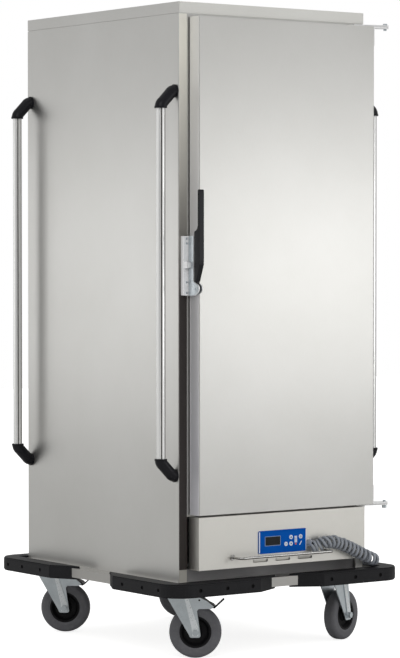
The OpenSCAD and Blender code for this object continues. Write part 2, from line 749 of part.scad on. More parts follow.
function cord_pt(i) = cord_route[min(max(i, 0), len(cord_route) - 1)];
function spline(i, u) = let (a = cord_pt(i - 1), b = cord_pt(i), c = cord_pt(i + 1), d = cord_pt(i + 2))
    0.5 * (2 * b + (c - a) * u + (2 * a - 5 * b + 4 * c - d) * u * u + (3 * b - a - 3 * c + d) * u * u * u);
cord_steps = 3;
cord_line = [for (i = [0:len(cord_route) - 2], k = [0:cord_steps - 1]) spline(i, k / cord_steps)];
cord_path = concat(cord_line, [cord_pt(len(cord_route) - 1)]);

function unit(v) = v / norm(v);
function ring(i, r, sides) = let (
    n = len(cord_path) - 1,
    t = unit(cord_path[min(i + 1, n)] - cord_path[max(i - 1, 0)]),
    side = unit(cross(t, abs(t[2]) > 0.9 ? [0, 1, 0] : [0, 0, 1])),
    up = cross(side, t))
    [for (k = [0:sides - 1]) cord_path[i] + r * (side * cos(360 * k / sides) + up * sin(360 * k / sides))];
// Tube along the route between two of its rings
module sweep(first, last, r) {
    sides = 10;
    n = last - first;
    points = [for (i = [first:last]) each ring(i, r, sides)];
    skin = [for (i = [0:n - 1], k = [0:sides - 1]) let (m = (k + 1) % sides, a = i * sides, b = a + sides)
        [a + k, a + m, b + m, b + k]];
    ends = [[for (k = [0:sides - 1]) sides - 1 - k], [for (k = [0:sides - 1]) n * sides + k]];
    polyhedron(points, concat(skin, ends));
}

// Straight leads: out of the gland, and into the plug
module power_cord() color([0.45, 0.46, 0.48]) {
    sweep(0, coil_first * cord_steps, cord_d / 2);
    sweep(coil_last * cord_steps, len(cord_path) - 1, cord_d / 2);
}

// The curled part, as one tube of its outer diameter
module cord_coil() color([0.48, 0.49, 0.51])
    sweep(coil_first * cord_steps, coil_last * cord_steps, coil_d / 2);

// Plug lying on the right-hand ledge, pins toward the back
module power_plug() color([0.42, 0.43, 0.45]) {
    e = cord_pt(len(cord_route) - 1);
    translate(e) {
        rotate([-90, 0, 0]) cylinder(r1 = 8, r2 = 10, h = 16);
        translate([0, 16, 0]) rotate([-90, 0, 0]) cylinder(r = 17, h = 40);
        for (s = [-1, 1]) translate([s * 9.5, 56, 0]) rod_y(2.4, 0, 18);
    }
}

// ---------------------------------------------------------------- screws

module fasteners() color([0.7, 0.7, 0.7]) {
    ox = chassis_x + bumper_t;
    oy = chassis_y + bumper_t;
    z = under_z + rim_h / 2;
    for (sx = [0, 1], sy = [0, 1]) mirror([sx, 0, 0]) mirror([0, sy, 0]) {
        for (d = screws_side) translate([ox - 5, oy - d, z]) rotate([0, 90, 0]) countersunk_head(5, 2.5);
        for (d = screws_end) translate([ox - d, oy - 5, z]) rotate([-90, 0, 0]) countersunk_head(5, 2.5);
    }
    for (p = castor_xy, sx = [-1, 1], sy = [-1, 1])
        translate([p[0] + sx * plate_bolts[0], p[1] + sy * plate_bolts[1], under_z - plate_t - 5])
            cylinder(r = 6.5, h = 5, $fn = 6);
    for (zz = [latch_z0 + 8, latch_z0 + 40, latch_z1 - 22, latch_z1 - 8])
        translate([18 - half_w, front_y - keeper_t, zz]) rotate([90, 0, 0]) countersunk_head(3.5, 1.5);
}

// ---------------------------------------------------------------- the object

chassis_frame();
corner_bumpers();
castor_plates();
casing();
top_cap();
liner();
insulation();
plinth();
rack_uprights();
tray_runners();
floor_grille();
strike_plate();
hinge_brackets();
hinge_pins();
handle_tubes();
handle_elbows();
module_housing();
module_fascia();
guard_rail();
controller_bezel();
controller_display();
heater_element();
fan_motor();
fan_rotor();
cable_gland();
power_cord();
cord_coil();
power_plug();
fasteners();
key(keys[0]);  // key_up
key(keys[1]);  // key_down
key(keys[2]);  // key_set
key(keys[3]);  // key_power
door_skin();
door_liner();
door_core();
door_gasket();
hinge_arms();
latch_housing();
latch_lever();
latch_pin();
latch_bolt();
at_castor(0) braked_fork();  // castor_fl_fork
at_castor(0) axle();  // castor_fl_axle
at_castor(0) rim();  // castor_fl_rim
at_castor(0) tyre();  // castor_fl_tyre
at_castor(0) brake();  // castor_fl_brake
at_castor(1) braked_fork();  // castor_rl_fork
at_castor(1) axle();  // castor_rl_axle
at_castor(1) rim();  // castor_rl_rim
at_castor(1) tyre();  // castor_rl_tyre
at_castor(1) brake();  // castor_rl_brake
at_castor(2) fork(false);  // castor_fr_fork
at_castor(2) axle();  // castor_fr_axle
at_castor(2) rim();  // castor_fr_rim
at_castor(2) tyre();  // castor_fr_tyre
at_castor(3) fork(false);  // castor_rr_fork
at_castor(3) axle();  // castor_rr_axle
at_castor(3) rim();  // castor_rr_rim
at_castor(3) tyre();  // castor_rr_tyre
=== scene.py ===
import json
import math

import bmesh
import bpy
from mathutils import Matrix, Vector


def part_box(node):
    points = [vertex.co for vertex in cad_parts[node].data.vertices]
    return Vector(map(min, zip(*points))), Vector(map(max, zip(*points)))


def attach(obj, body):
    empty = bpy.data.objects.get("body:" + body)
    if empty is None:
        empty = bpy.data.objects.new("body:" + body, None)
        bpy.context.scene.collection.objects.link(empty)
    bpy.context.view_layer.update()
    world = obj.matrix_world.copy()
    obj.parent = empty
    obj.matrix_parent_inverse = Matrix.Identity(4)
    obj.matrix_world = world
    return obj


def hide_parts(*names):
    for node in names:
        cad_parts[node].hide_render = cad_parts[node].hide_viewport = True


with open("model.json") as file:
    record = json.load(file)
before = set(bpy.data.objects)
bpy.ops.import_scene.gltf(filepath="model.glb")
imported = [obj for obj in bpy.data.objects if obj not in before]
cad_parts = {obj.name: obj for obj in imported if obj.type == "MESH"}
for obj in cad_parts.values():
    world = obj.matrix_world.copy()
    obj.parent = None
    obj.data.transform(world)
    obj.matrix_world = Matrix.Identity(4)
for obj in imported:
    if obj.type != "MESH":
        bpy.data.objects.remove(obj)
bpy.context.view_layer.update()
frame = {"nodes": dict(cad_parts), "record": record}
nodes = frame["nodes"]
scene = bpy.context.scene

# ------------------------------------------------------------------ camera
# Place, turn and lens come from the camera that was fitted to the photo.

CAMERA_PLACE = (-5.116, -7.1106, 1.2368)
CAMERA_DOWN = 1.599  # degrees below level
CAMERA_TURN = -35.806  # degrees from +Y, less than 0 to the right
CAMERA_LENS = 149.56
SENSOR_WIDTH = 36
VIEW_DEPTH = 60


def make_camera():
    data = bpy.data.cameras.new("camera")
    data.sensor_width = SENSOR_WIDTH
    data.lens = CAMERA_LENS
    data.clip_end = VIEW_DEPTH
    camera = bpy.data.objects.new("camera", data)
    scene.collection.objects.link(camera)
    camera.location = CAMERA_PLACE
    camera.rotation_euler = (math.radians(90 - CAMERA_DOWN), 0, math.radians(CAMERA_TURN))
    scene.camera = camera


make_camera()

# ------------------------------------------------------------------ small helpers


def add_object(name, data, body, look):
    """Links a new piece, lets it ride on a body and gives it the material look."""
    piece = bpy.data.objects.new(name, data)
    scene.collection.objects.link(piece)
    data.materials.append(look)
    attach(piece, body)
    return piece


def mesh_piece(name, build, body, look):
    """Makes a flat-shaded piece of the faces that build(bm) adds."""
    mesh = bpy.data.meshes.new(name)
    bm = bmesh.new()
    build(bm)
    bmesh.ops.recalc_face_normals(bm, faces=bm.faces)
    bm.to_mesh(mesh)
    bm.free()
    return add_object(name, mesh, body, look)


def add_prism_y(bm, outline, y0, y1):
    """Outline of (x, z) points, thick from y0 to y1."""
    near = [bm.verts.new((x, y0, z)) for x, z in outline]
    far = [bm.verts.new((x, y1, z)) for x, z in outline]
    bm.faces.new(near)
    bm.faces.new(list(reversed(far)))
    for i in range(len(outline)):
        j = (i + 1) % len(outline)
        bm.faces.new((near[j], near[i], far[i], far[j]))


def add_frame_y(bm, outer, inner, y0, y1):
    """A flat frame between two outlines with the same number of points."""
    loops = []
    for y in (y0, y1):
        loops.append([bm.verts.new((x, y, z)) for x, z in outer])
        loops.append([bm.verts.new((x, y, z)) for x, z in inner])
    near_out, near_in, far_out, far_in = loops
    for i in range(len(outer)):
        j = (i + 1) % len(outer)
        bm.faces.new((near_out[i], near_out[j], near_in[j], near_in[i]))
        bm.faces.new((far_out[j], far_out[i], far_in[i], far_in[j]))
        bm.faces.new((near_out[j], near_out[i], far_out[i], far_out[j]))
        bm.faces.new((near_in[i], near_in[j], far_in[j], far_in[i]))


def box_outline(x0, x1, z0, z1):
    return [(x0, z0), (x1, z0), (x1, z1), (x0, z1)]


def arc_outline(cx, cz, r, first, turn, steps):
    """Points of an arc that starts at the angle first and turns on, in degrees."""
    angles = [math.radians(first + turn * i / steps) for i in range(steps + 1)]
    return [(cx + r * math.cos(a), cz + r * math.sin(a)) for a in angles]


def rounded_outline(x0, x1, z0, z1, r, steps=5):
    left, right, bottom, top = x0 + r, x1 - r, z0 + r, z1 - r
    points = []
    for cx, cz, first in ((left, bottom, 180), (right, bottom, 270), (right, top, 0), (left, top, 90)):
        points += arc_outline(cx, cz, r, first, 90, steps)
    return points


# ------------------------------------------------------------------ the curly cord
# Every length along the cord is measured from where its curls begin, in front of the gland.

CORD_D = 0.0085
COIL_D = 0.042
COIL_R = (COIL_D - CORD_D) / 2
TURNS = 30
STEPS_PER_TURN = 24
GLAND = Vector((0.1, -0.449, 0.338))
GLAND_STEPS = 4
# The cord runs straight out of the gland onto the top of its first turn, whose radius is this
FIRST_R = 0.0157
OPENING = 0.03  # stretch on which the turns open to their full width
# Middle of the curls: the first four points start below the gland's mouth,
# and the rest are those of part.scad's route, to the plug
ROUTE = [Vector(place) for place in (
    (0.1, -0.4705, 0.338 - FIRST_R), (0.114, -0.474, 0.3285), (0.132, -0.4785, 0.335), (0.158, -0.482, 0.340),
    (0.193, -0.481, 0.335), (0.240, -0.480, 0.318), (0.283, -0.480, 0.298), (0.318, -0.479, 0.283),
    (0.342, -0.471, 0.274), (0.363, -0.447, 0.270), (0.378, -0.420, 0.267), (0.381, -0.385, 0.2652),
    (0.381, -0.330, 0.265), (0.381, -0.275, 0.265), (0.381, -0.225, 0.265), (0.383, -0.195, 0.2605),
    (0.385, -0.160, 0.2582), (0.385, -0.130, 0.2582), (0.385, -0.095, 0.2582))]
ROUTE_STEPS = 40  # from each point of the route to the next
CURL_END = 14.4  # where the turning ends, counted in points of the route
UNWIND = 0.05  # stretch before that on which it slows down
PLUG_LEAD = 0.02  # plain straight end at the plug
LEAD_STEPS = 20

# How unevenly the curls hang. Each wave is an amount and its radians per metre.
CLOSE_STRETCH = 0.14  # near the gland the turns lie closer
CLOSER = 0.3
FIRST_TURN = (4, 0.0006)  # extra turning at the very start, and how soon it fades
PITCH_NEAR = (0.15, 210)
PITCH_ALL = (0.1, 47)
LOOSE_STRETCH = 0.15  # near the gland the turns also sway and tilt
LOOSE_START = 0.02
GIRTH_WAVE = (0.02, 260)
SWAY_ACROSS = (0.003, 173)
SWAY_ASIDE = (0.002, 131)
TILT_WAVE = (0.006, 60)


def smooth_line(points, steps):
    """A Catmull-Rom line through the points."""
    line = []
    for i in range(len(points) - 1):
        a, b = points[max(i - 1, 0)], points[i]
        c, d = points[i + 1], points[min(i + 2, len(points) - 1)]
        for k in range(steps):
            u = k / steps
            line.append(0.5 * (2 * b + (c - a) * u + (2 * a - 5 * b + 4 * c - d) * u ** 2
                               + (3 * b - a - 3 * c + d) * u ** 3))
    line.append(points[-1])
    return line


def travelling_frames(line):
    """Each point of the line with two directions across it, which travel along without twisting."""
    side = Vector((0, 0, 1))
    frames = []
    for i, place in enumerate(line):
        ahead = (line[min(i + 1, len(line) - 1)] - line[max(i - 1, 0)]).normalized()
        side = (side - ahead * side.dot(ahead)).normalized()
        frames.append((place, side.copy(), ahead.cross(side)))
    return frames


def fall(q, start, end):
    """Falls smoothly from 1 at start to 0 at end."""
    left = min(max((end - q) / (end - start), 0), 1)
    return left * left * (3 - 2 * left)


def looseness(q):
    """How much of the waves shows: it grows from 0 at the first turn and is gone after the loose stretch."""
    return max(0, 1 - q / LOOSE_STRETCH) * min(q / LOOSE_START, 1)


def tightness(q, curl_end):
    """Turns per length at the distance q, without a unit: the sum is scaled to all turns later."""
    near = max(0, 1 - q / CLOSE_STRETCH)
    uneven = (CLOSER * near + PITCH_NEAR[0] * near * math.sin(q * PITCH_NEAR[1])
              + PITCH_ALL[0] * math.sin(q * PITCH_ALL[1]))
    first = FIRST_TURN[0] * math.exp(-q / FIRST_TURN[1])
    return fall(q, curl_end - UNWIND, curl_end) * (1 + uneven + first)


def curl_samples(curl_end, lead_start, route_end):
    """Distances along the route, each with the share of the turns that is made by then."""
    count = TURNS * STEPS_PER_TURN
    step = curl_end / count
    turned = [0.0]
    for i in range(count):
        turned.append(turned[-1] + tightness((i + 0.5) * step, curl_end))
    samples = [(i * step, turned[i] / turned[-1]) for i in range(count + 1)]
    for k in range(1, LEAD_STEPS + 1):
        samples.append((curl_end + (lead_start - curl_end) * k / LEAD_STEPS, 1))
    samples.append((route_end, 1))
    return samples


def turn_radius(q, curl_end, lead_start):
    """Opens from the first turn's radius to the full one, and closes onto the route before the plug."""
    opened = min(q / OPENING, 1)
    r = FIRST_R * (1 - opened) + COIL_R * opened
    girth = 1 - GIRTH_WAVE[0] * looseness(q) * (1 + math.sin(q * GIRTH_WAVE[1]))
    return r * (fall(q, curl_end, lead_start) * girth)


def cord_points():
    """Straight out of the gland, round every curl, and straight into the plug."""
    line = smooth_line(ROUTE, ROUTE_STEPS)
    frames = travelling_frames(line)
    distance = [0.0]
    for a, b in zip(line, line[1:]):
        distance.append(distance[-1] + (b - a).length)
    curl_end = distance[round(CURL_END * ROUTE_STEPS)]
    lead_start = distance[-1] - PLUG_LEAD

    start = ROUTE[0] + Vector((0, 0, FIRST_R))
    points = [GLAND.lerp(start, k / GLAND_STEPS) for k in range(GLAND_STEPS)]
    i = 0
    for q, share in curl_samples(curl_end, lead_start, distance[-1]):
        while i < len(distance) - 2 and distance[i + 1] < q:
            i += 1
        f = min(max((q - distance[i]) / (distance[i + 1] - distance[i]), 0), 1)
        centre, u, v = [here.lerp(there, f) for here, there in zip(frames[i], frames[i + 1])]
        u.normalize()
        v.normalize()
        loose = looseness(q)
        angle = 2 * math.pi * TURNS * share
        centre += u * (SWAY_ACROSS[0] * loose * math.sin(q * SWAY_ACROSS[1]))
        centre += v * (SWAY_ASIDE[0] * loose * math.cos(q * SWAY_ASIDE[1]))
        centre += u.cross(v) * (TILT_WAVE[0] * loose * math.cos(angle + q * TILT_WAVE[1]))
        r = turn_radius(q, curl_end, lead_start)
        points.append(centre + u * (r * math.cos(angle)) + v * (r * math.sin(angle)))
    return points


def make_cord(look):
    points = cord_points()
    curve = bpy.data.curves.new("curly_cord", "CURVE")
    curve.dimensions = "3D"
    curve.bevel_depth = CORD_D / 2
    curve.bevel_resolution = 3
    spline = curve.splines.new("POLY")
    spline.points.add(len(points) - 1)
    for point, place in zip(spline.points, points):
        point.co = (*place, 1)
    spline.use_smooth = True
    piece = add_object("curly_cord", curve, "cart", look)
    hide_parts("power_cord", "cord_coil")


# ------------------------------------------------------------------ shader helpers

EVEN = (1, 1, 1)
BRUSHED_UP = (14, 14, 1)
BRUSHED_LEVEL = (1, 14, 14)
BRUSHED_INSIDE = (1, 10, 10)
DRAWN_UP = (9, 9, 1)
DRAWN_LEVEL = (1, 9, 9)
SHEET_WAVE = (1, 1, 0.6)

CLOUD_SHARE = 0.6  # how much of the colour mix follows the clouds, the rest the grain
GRAIN_SHARE = 0.4
CLOUD_DETAIL = 4
GRAIN_DETAIL = 3
GRAIN_ROUGH = 0.6
DUST_REACH = 0.5
WAVE_SCALE = 2.2
WAVE_DETAIL = 1


def node_of(tree, kind, **values):
    node = tree.nodes.new(kind)
    for key, value in values.items():
        setattr(node, key, value)
    return node


def math_node(tree, operation, first, second):
    """Its second input is a number or a socket."""
    node = node_of(tree, "ShaderNodeMath", operation=operation)
    tree.links.new(first, node.inputs[0])
    if isinstance(second, (int, float)):
        node.inputs[1].default_value = second
    else:
        tree.links.new(second, node.inputs[1])
    return node.outputs[0]


def facing_node(tree, direction, vector):
    """How far a vector points in a fixed direction."""
    node = node_of(tree, "ShaderNodeVectorMath", operation="DOT_PRODUCT")
    node.inputs[1].default_value = direction
    tree.links.new(vector, node.inputs[0])
    return node.outputs["Value"]


def noise(tree, vector, scale, detail, stretch=EVEN, rough=0.55):
    mapping = node_of(tree, "ShaderNodeMapping")
    mapping.inputs["Scale"].default_value = stretch
    tree.links.new(vector, mapping.inputs["Vector"])
    node = node_of(tree, "ShaderNodeTexNoise")
    node.inputs["Scale"].default_value = scale
    node.inputs["Detail"].default_value = detail
    node.inputs["Roughness"].default_value = rough
    tree.links.new(mapping.outputs["Vector"], node.inputs["Vector"])
    return node.outputs["Fac"]


def spread(tree, source, low, high, from_low=0.3, from_high=0.7):
    """Maps a value from the second range, which suits a noise, to the first one."""
    node = node_of(tree, "ShaderNodeMapRange")
    node.inputs["From Min"].default_value = from_low
    node.inputs["From Max"].default_value = from_high
    node.inputs["To Min"].default_value = low
    node.inputs["To Max"].default_value = high
    tree.links.new(source, node.inputs["Value"])
    return node.outputs["Result"]


def bump_node(tree, height, distance):
    node = node_of(tree, "ShaderNodeBump")
    node.inputs["Strength"].default_value = 1
    node.inputs["Distance"].default_value = distance
    tree.links.new(height, node.inputs["Height"])
    return node


def material(name, dark, light, metallic=0.0, rough=(0.4, 0.5), cloud=3, grain=400, streak=EVEN,
             relief=0.00005, wave=0.0, specular=0.5, dust=None):
    """Two colours mixed by clouds and by a fine grain that also sets the roughness and the relief.

    cloud and grain are noise scales, streak stretches the grain, relief and wave are heights in metres,
    and dust is the scale, colour and strength of pale specks.
    """
    m = bpy.data.materials.new(name)
    m.use_nodes = True
    tree = m.node_tree
    shader = tree.nodes["Principled BSDF"]
    shader.inputs["Metallic"].default_value = metallic
    shader.inputs["Specular IOR Level"].default_value = specular
    where = node_of(tree, "ShaderNodeTexCoord").outputs["Object"]
    clouds = noise(tree, where, cloud, CLOUD_DETAIL)
    fine = noise(tree, where, grain, GRAIN_DETAIL, streak, GRAIN_ROUGH)
    mix = node_of(tree, "ShaderNodeMix", data_type="RGBA")
    mix.inputs["A"].default_value = (*dark, 1)
    mix.inputs["B"].default_value = (*light, 1)
    both = math_node(tree, "ADD", spread(tree, clouds, 0, CLOUD_SHARE), spread(tree, fine, 0, GRAIN_SHARE))
    tree.links.new(both, mix.inputs["Factor"])
    colour = mix.outputs["Result"]
    if dust:
        scale, speck, strength = dust
        dots = node_of(tree, "ShaderNodeTexVoronoi")
        dots.inputs["Scale"].default_value = scale
        tree.links.new(where, dots.inputs["Vector"])
        dusty = node_of(tree, "ShaderNodeMix", data_type="RGBA")
        dusty.inputs["B"].default_value = (*speck, 1)
        tree.links.new(colour, dusty.inputs["A"])
        specks = spread(tree, dots.outputs["Distance"], strength, 0, 0.0, DUST_REACH)
        tree.links.new(specks, dusty.inputs["Factor"])
        colour = dusty.outputs["Result"]
    tree.links.new(colour, shader.inputs["Base Color"])
    tree.links.new(spread(tree, fine, *rough), shader.inputs["Roughness"])
    bump = bump_node(tree, fine, relief)
    if wave:
        sheet = bump_node(tree, noise(tree, where, WAVE_SCALE, WAVE_DETAIL, SHEET_WAVE), wave)
        tree.links.new(sheet.outputs["Normal"], bump.inputs["Normal"])
    tree.links.new(bump.outputs["Normal"], shader.inputs["Normal"])
    return m


def paint_dark_reflection(m, direction, middle, reach, colour):
    """Paints a dark reflection into a polished part's colour, in a band of its surface.

    The band is where the surface faces the direction by middle, give or take reach.
    """
    tree = m.node_tree
    base = tree.nodes["Principled BSDF"].inputs["Base Color"]
    facing = facing_node(tree, direction, node_of(tree, "ShaderNodeTexCoord").outputs["Normal"])
    hit = math_node(tree, "COMPARE", facing, middle)
    hit.node.inputs[2].default_value = reach
    mix = node_of(tree, "ShaderNodeMix", data_type="RGBA")
    tree.links.new(base.links[0].from_socket, mix.inputs["A"])
    mix.inputs["B"].default_value = (*colour, 1)
    tree.links.new(hit, mix.inputs["Factor"])
    tree.links.new(mix.outputs["Result"], base)


FOOT_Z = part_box("plinth")[1].z
FOOT_PAINTED_REFLECTION = 0.45  # painted reflection: the part below that height takes at least this much of the upper tone


def painted_reflection_sheet(name, low, high, z0, z1, metallic):
    """Sheet steel with a painted reflection, whose colour runs from the low tone at the height z0 to the high
    one at z1.
    """
    m = material(name, low, high, metallic=metallic, rough=(0.36, 0.46), grain=60, streak=BRUSHED_UP,
                 relief=0.00001)
    tree = m.node_tree
    mix = next(n for n in tree.nodes if n.type == "MIX")
    split = node_of(tree, "ShaderNodeSeparateXYZ")
    tree.links.new(node_of(tree, "ShaderNodeTexCoord").outputs["Object"], split.inputs[0])
    height = split.outputs["Z"]
    foot = math_node(tree, "MULTIPLY", math_node(tree, "LESS_THAN", height, FOOT_Z), FOOT_PAINTED_REFLECTION)
    factor = math_node(tree, "MAXIMUM", spread(tree, height, 0, 1, z0, z1), foot)
    tree.links.new(factor, mix.inputs["Factor"])
    return m


# ------------------------------------------------------------------ metals

STEEL_DARK = (0.60, 0.595, 0.57)
STEEL_LIGHT = (0.66, 0.655, 0.635)
steel_sheet = material("steel_sheet", STEEL_DARK, STEEL_LIGHT, metallic=1, rough=(0.34, 0.42), cloud=2.5,
                       grain=60, streak=BRUSHED_UP, relief=0.00001, wave=0.0012)
steel_inner = material("steel_inner", (0.62, 0.62, 0.61), (0.70, 0.70, 0.69), metallic=1, rough=(0.3, 0.4),
                       cloud=4, grain=80, streak=BRUSHED_INSIDE, relief=0.00001)
cap_steel = material("cap_steel", STEEL_DARK, STEEL_LIGHT, metallic=1, rough=(0.58, 0.66), cloud=2.5,
                     grain=60, streak=BRUSHED_LEVEL, relief=0.00001)
# Painted highlight: a lighter copy of the sheet steel for the cap's front faces
cap_front_painted_highlight = material("cap_front_painted_highlight", (0.72, 0.715, 0.68), (0.78, 0.775, 0.74), metallic=1,
                          rough=(0.34, 0.42), cloud=2.5, grain=60, streak=BRUSHED_LEVEL, relief=0.00001)
fascia_steel = material("fascia_steel", (0.70, 0.685, 0.645), (0.76, 0.745, 0.70), metallic=1,
                        rough=(0.34, 0.42), cloud=2.5, grain=60, streak=BRUSHED_UP, relief=0.00001)
# The plinth is steel; its dark grey tone is painted shade for its recess
plinth_painted_shade = material("plinth_painted_shade", (0.19, 0.187, 0.19), (0.24, 0.237, 0.24), metallic=0.5,
                        rough=(0.4, 0.5), cloud=4, grain=60, streak=BRUSHED_LEVEL, relief=0.00001)
chassis_steel = material("chassis_steel", (0.44, 0.43, 0.41), (0.50, 0.49, 0.47), metallic=1,
                         rough=(0.36, 0.46), grain=60, streak=BRUSHED_LEVEL, relief=0.00001)
# Painted reflection on the left post's front faces: near-black brown low, pale beige high
post_painted_reflection = painted_reflection_sheet("post_painted_reflection", (0.045, 0.038, 0.036), (0.92, 0.90, 0.82), 1.1, 1.85, 0.5)
# Painted reflection on the door's left edge: lilac grey low, paler high
door_edge_painted_reflection = painted_reflection_sheet("door_edge_painted_reflection", (0.66, 0.655, 0.69), (0.80, 0.79, 0.76), 0.6, 1.9, 0.4)
bright_tube = material("bright_tube", (0.90, 0.90, 0.89), (0.95, 0.95, 0.94), metallic=0.55,
                       rough=(0.20, 0.26), grain=90, streak=DRAWN_UP, relief=0)
rail_steel = material("rail_steel", (0.50, 0.495, 0.48), (0.58, 0.575, 0.56), metallic=1,
                      rough=(0.24, 0.3), grain=90, streak=DRAWN_LEVEL, relief=0)
bright_cast = material("bright_cast", (0.84, 0.84, 0.84), (0.92, 0.92, 0.92), metallic=0.35,
                       rough=(0.36, 0.46), cloud=12, grain=300, relief=0.00001)
# Near-white and hardly metallic: a painted highlight that stands in for the chrome keeper's bright reflection
keeper_painted_highlight = material("keeper_painted_highlight", (0.90, 0.90, 0.91), (0.97, 0.97, 0.98), metallic=0.1,
                        rough=(0.3, 0.4), cloud=12, grain=300, relief=0.00001)
zinc = material("zinc", (0.52, 0.565, 0.59), (0.68, 0.73, 0.76), metallic=1, rough=(0.28, 0.42), cloud=30,
                grain=260, relief=0.00003)
# Painted highlight: a brighter, less metallic copy of zinc for the outward faces of the fork ribs
rib_painted_highlight = material("rib_painted_highlight", (0.80, 0.84, 0.86), (0.90, 0.93, 0.95), metallic=0.4, rough=(0.26, 0.34),
                    cloud=30, grain=260, relief=0.00002)
dark_screw = material("dark_screw", (0.004, 0.004, 0.004), (0.009, 0.009, 0.009), rough=(0.6, 0.7),
                      cloud=60, specular=0.1)
heater_sheath = material("heater_sheath", (0.20, 0.18, 0.16), (0.36, 0.32, 0.28), metallic=1,
                         rough=(0.35, 0.5), cloud=18)
dark_paint = material("dark_paint", (0.07, 0.07, 0.074), (0.10, 0.10, 0.105), rough=(0.4, 0.55), cloud=5,
                      grain=420)

# Painted reflections: dark bands in the colour of the polished tubes and the rail, for the dark things of the
# studio that they would show, one band each
paint_dark_reflection(bright_tube, (0.908, -0.42, 0), 0.0, 0.12, (0.06, 0.05, 0.045))
paint_dark_reflection(bright_tube, (0.811, -0.585, 0), 0.93, 0.07, (0.2, 0.19, 0.18))
paint_dark_reflection(rail_steel, (0, 0, 1), -0.65, 0.4, (0.05, 0.035, 0.025))

# ------------------------------------------------------------------ rubber, plastic, foam and prints

bumper_rubber = material("bumper_rubber", (0.007, 0.007, 0.008), (0.012, 0.012, 0.014), rough=(0.48, 0.6),
                         cloud=9, grain=700, relief=0.0001, specular=0.22,
                         dust=(160, (0.025, 0.025, 0.03), 0.25))
tyre_rubber = material("tyre_rubber", (0.105, 0.105, 0.115), (0.155, 0.155, 0.168), rough=(0.5, 0.65),
                       cloud=14, grain=500, relief=0.0001, dust=(90, (0.20, 0.20, 0.20), 0.3))
gasket_rubber = material("gasket_rubber", (0.03, 0.03, 0.03), (0.05, 0.05, 0.05), rough=(0.55, 0.7))
cord_rubber = material("cord_rubber", (0.23, 0.25, 0.285), (0.33, 0.35, 0.385), rough=(0.34, 0.46),
                       cloud=30, grain=900, relief=0.00006)
plug_rubber = material("plug_rubber", (0.17, 0.18, 0.20), (0.23, 0.24, 0.26), rough=(0.4, 0.52), cloud=30,
                       grain=600, relief=0.00008)
black_plastic = material("black_plastic", (0.005, 0.005, 0.007), (0.010, 0.010, 0.013), rough=(0.26, 0.36),
                         cloud=12, grain=900, specular=0.2)
rim_plastic = material("rim_plastic", (0.005, 0.005, 0.006), (0.010, 0.010, 0.011), rough=(0.42, 0.54),
                       cloud=12, grain=900, specular=0.18)
foam = material("foam", (0.72, 0.66, 0.42), (0.82, 0.77, 0.55), rough=(0.8, 0.95), cloud=10, grain=300,
                relief=0.0006)
blue_film = material("blue_film", (0.001, 0.078, 0.39), (0.002, 0.100, 0.47), rough=(0.45, 0.55), cloud=25,
                     grain=900, relief=0.00002, specular=0.03)
display_glass = material("display_glass", (0.010, 0.011, 0.013), (0.018, 0.019, 0.021), rough=(0.3, 0.4),
                         cloud=40, specular=0.18)
white_key = material("white_key", (0.66, 0.73, 0.84), (0.80, 0.85, 0.92), rough=(0.3, 0.42), cloud=120)
pale_print = material("pale_print", (0.70, 0.76, 0.86), (0.82, 0.87, 0.93), rough=(0.35, 0.45), cloud=60)
rim_print = material("rim_print", (0.16, 0.24, 0.40), (0.22, 0.30, 0.46), rough=(0.35, 0.45), cloud=60)
red_print = material("red_print", (0.50, 0.10, 0.09), (0.62, 0.16, 0.14), cloud=60)
dark_print = material("dark_print", (0.01, 0.05, 0.20), (0.02, 0.07, 0.26), cloud=60)

# ------------------------------------------------------------------ materials of the nodes

SLOT_MATERIALS = {
    "stainless": steel_sheet, "stainless_inner": steel_inner, "bright_tube": bright_tube, "zinc": zinc,
    "black_rubber": bumper_rubber, "gasket_rubber": gasket_rubber, "black_plastic": black_plastic,
    "grey_tyre": tyre_rubber, "foam": foam, "dark_panel": dark_paint, "blue_panel": blue_film,
    "display_glass": display_glass, "white_key": white_key, "heater_sheath": heater_sheath,
    "grey_cord": cord_rubber}
# Nodes that look different from the rest of their slot
NODE_MATERIALS = {
    "power_plug": plug_rubber, "plinth": plinth_painted_shade, "chassis_frame": chassis_steel,
    "guard_rail": rail_steel, "strike_plate": keeper_painted_highlight, "module_fascia": fascia_steel,
    "cable_gland": cord_rubber, "latch_housing": bright_cast, "latch_bolt": bright_cast,
    "hinge_brackets": bright_cast, "hinge_arms": bright_cast}

for part in frame["record"]["subparts"]:
    chosen = NODE_MATERIALS.get(part["node"], SLOT_MATERIALS[part["material_slot"]])
    data = nodes[part["node"]].data
    data.materials.clear()
    data.materials.append(chosen)

FACING = 0.9  # a face looks in a direction when its normal goes this far along it
NEAR = 0.001  # a face lies on a plane when its middle is this close
FORK_LEGS = 0.05  # the legs of a fork reach this far above the wheel's hub
SCREW_DEPTH = 0.016  # the bumpers' screws lie this close to the bumpers' outsides


def second_material(name, other, chosen):
    """Gives some of a node's faces another material, chosen by the face's middle and normal."""
    piece = nodes[name]
    piece.data.materials.append(other)
    slot = len(piece.data.materials) - 1
    for polygon in piece.data.polygons:
        if chosen(piece.matrix_world @ polygon.center, polygon.normal):
            polygon.material_index = slot


def dress_castor(joint):
    """Plastic for the rim that turns on this joint, and a painted highlight, a brighter zinc, on the ribs
    outside its fork.
    """
    corner = joint["name"].split("_")[0]
    nodes[f"castor_{corner}_rim"].data.materials[0] = rim_plastic
    fork = f"castor_{corner}_fork"
    hub, axle = Vector(joint["pos_m"]), Vector(joint["axis"])

    def aside(place):
        return abs((place - hub).dot(axle))

    leg_points = [v.co for v in nodes[fork].data.vertices if v.co.z < hub.z + FORK_LEGS]
    ribs = max(aside(place) for place in leg_points) - NEAR
    second_material(fork, rib_painted_highlight, lambda c, n: aside(c) > ribs and abs(n.dot(axle)) > FACING)


for joint in frame["record"]["behaviour"]["joints"]:
    if joint["name"].endswith("_wheel_roll"):
        dress_castor(joint)

